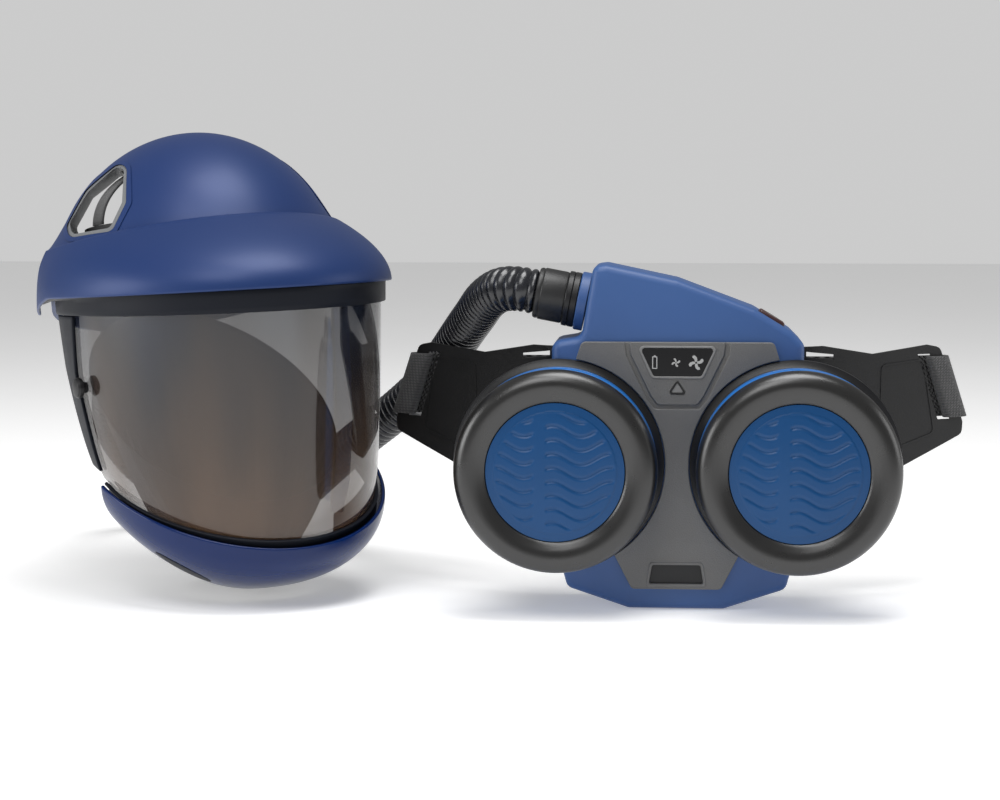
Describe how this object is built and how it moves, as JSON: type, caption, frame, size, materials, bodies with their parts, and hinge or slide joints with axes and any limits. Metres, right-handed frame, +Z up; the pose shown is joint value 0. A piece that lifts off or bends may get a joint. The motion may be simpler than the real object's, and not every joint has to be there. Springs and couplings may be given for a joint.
{
  "type": "powered air respirator",
  "caption": "Powered air respirator: domed helmet with lifting visor, breathing hose and belt-worn fan unit with round filters.",
  "frame": {"origin": "centre of the fan unit's flat underside", "axes": "+Z up, +X from the helmet towards the fan unit, the unit's front faces -Y"},
  "size_m": [0.6308, 0.3977, 0.3016],
  "materials": {
    "black_plastic": "satin black moulding",
    "board_green": "circuit board laminate",
    "button_red": "dark red moulding",
    "case_blue": "satin blue moulding",
    "cloth": "woven cloth",
    "disc_blue": "embossed blue moulding",
    "filter_paper": "pleated paper",
    "frame_grey": "grey moulding",
    "gloss_black": "gloss black window",
    "helmet_blue": "satin pearl blue moulding",
    "lens": "clear polycarbonate",
    "matt_black": "matt black moulding",
    "plate_grey": "fine-grained grey moulding",
    "ring_blue": "bright blue moulding",
    "rubber": "black rubber",
    "steel": "steel",
    "webbing": "woven webbing"
  },
  "bodies": {
    "unit": {"front_housing": "case_blue", "rear_housing": "case_blue", "display_window": "gloss_black", "warning_lamp": "frame_grey", "name_badge": "black_plastic", "front_plate": "plate_grey", "fan_scroll": "matt_black", "fan_motor": "steel", "circuit_board": "board_green", "filter_adapter_left": "black_plastic", "filter_adapter_right": "black_plastic", "belt_plate": "matt_black", "belt_webbing_left": "webbing", "belt_webbing_right": "webbing", "buckle_socket": "matt_black", "outlet_collar": "case_blue", "hose_cuff_unit": "rubber", "breathing_hose": "rubber", "helmet_shell": "helmet_blue", "headband": "matt_black", "sweatband": "cloth", "crown_strap_front": "webbing", "crown_strap_side": "webbing", "ratchet_housing": "matt_black", "helmet_inlet": "matt_black", "hose_cuff_helmet": "rubber", "pivot_pin_left": "steel", "pivot_pin_right": "steel", "face_seal": "cloth"},
    "visor": {"brow_cover": "helmet_blue", "brow_seal": "rubber", "visor_lens": "lens", "lens_gasket": "rubber", "chin_guard": "helmet_blue", "side_arm_left": "matt_black", "side_arm_right": "matt_black"},
    "visor_knob_left": {"visor_knob_left": "matt_black"},
    "visor_knob_right": {"visor_knob_right": "matt_black"},
    "fan_wheel": {"impeller": "matt_black", "motor_shaft": "steel"},
    "battery": {"battery_pack": "matt_black"},
    "catch": {"battery_catch": "matt_black"},
    "power_button": {"power_button": "button_red"},
    "bayonet_ring": {"bayonet_ring": "black_plastic"},
    "buckle_plug": {"buckle_plug": "matt_black"},
    "ratchet_knob": {"ratchet_knob": "matt_black"},
    "filter_left": {"filter_body_left": "ring_blue", "filter_paper_left": "filter_paper", "filter_cap_left": "black_plastic", "cover_disc_left": "disc_blue"},
    "filter_right": {"filter_body_right": "ring_blue", "filter_paper_right": "filter_paper", "filter_cap_right": "black_plastic", "cover_disc_right": "disc_blue"}
  },
  "joints": [
    {"name": "visor_lift", "type": "hinge", "parent": "unit", "child": "visor", "pos_m": [-0.32665, 0.08266, 0.21587], "axis": [-0.8286, -0.5589, -0.0314], "range_deg": [0, 70]},
    {"name": "visor_knob_left_turn", "type": "hinge", "parent": "visor", "child": "visor_knob_left", "pos_m": [-0.37667, -0.01692, 0.13817], "axis": [-0.8286, -0.5589, -0.0314], "range_deg": [0, 90]},
    {"name": "visor_knob_right_turn", "type": "hinge", "parent": "visor", "child": "visor_knob_right", "pos_m": [-0.2117, 0.09435, 0.14442], "axis": [0.8286, 0.5589, 0.0314], "range_deg": [0, 90]},
    {"name": "ratchet_turn", "type": "hinge", "parent": "unit", "child": "ratchet_knob", "pos_m": [-0.37539, 0.15475, 0.21879], "axis": [-0.5592, 0.829, 0], "range_deg": [-180, 180]},
    {"name": "filter_left_turn", "type": "hinge", "parent": "unit", "child": "filter_left", "pos_m": [-0.0745, -0.0203, 0.092], "axis": [0, -1, 0], "range_deg": [0, 45]},
    {"name": "filter_right_turn", "type": "hinge", "parent": "unit", "child": "filter_right", "pos_m": [0.0745, -0.0203, 0.092], "axis": [0, -1, 0], "range_deg": [0, 45]},
    {"name": "fan_spin", "type": "hinge", "parent": "unit", "child": "fan_wheel", "pos_m": [0, 0, 0.102], "axis": [0, -1, 0], "continuous": true},
    {"name": "battery_slide", "type": "slide", "parent": "unit", "child": "battery", "axis": [0, 1, 0], "range_m": [0, 0.03]},
    {"name": "catch_press", "type": "slide", "parent": "unit", "child": "catch", "axis": [-1, 0, 0], "range_m": [0, 0.0025], "stiffness_N_per_m": 800},
    {"name": "power_press", "type": "slide", "parent": "unit", "child": "power_button", "axis": [-0.5199, 0, -0.8542], "range_m": [0, 0.0015], "stiffness_N_per_m": 1500},
    {"name": "bayonet_turn", "type": "hinge", "parent": "unit", "child": "bayonet_ring", "pos_m": [-0.0567, 0.008, 0.1925], "axis": [-0.9823, 0, 0.1874], "range_deg": [0, 45]},
    {"name": "buckle_slide", "type": "slide", "parent": "unit", "child": "buckle_plug", "axis": [1, 0, 0], "range_m": [0, 0.022]}
  ]
}
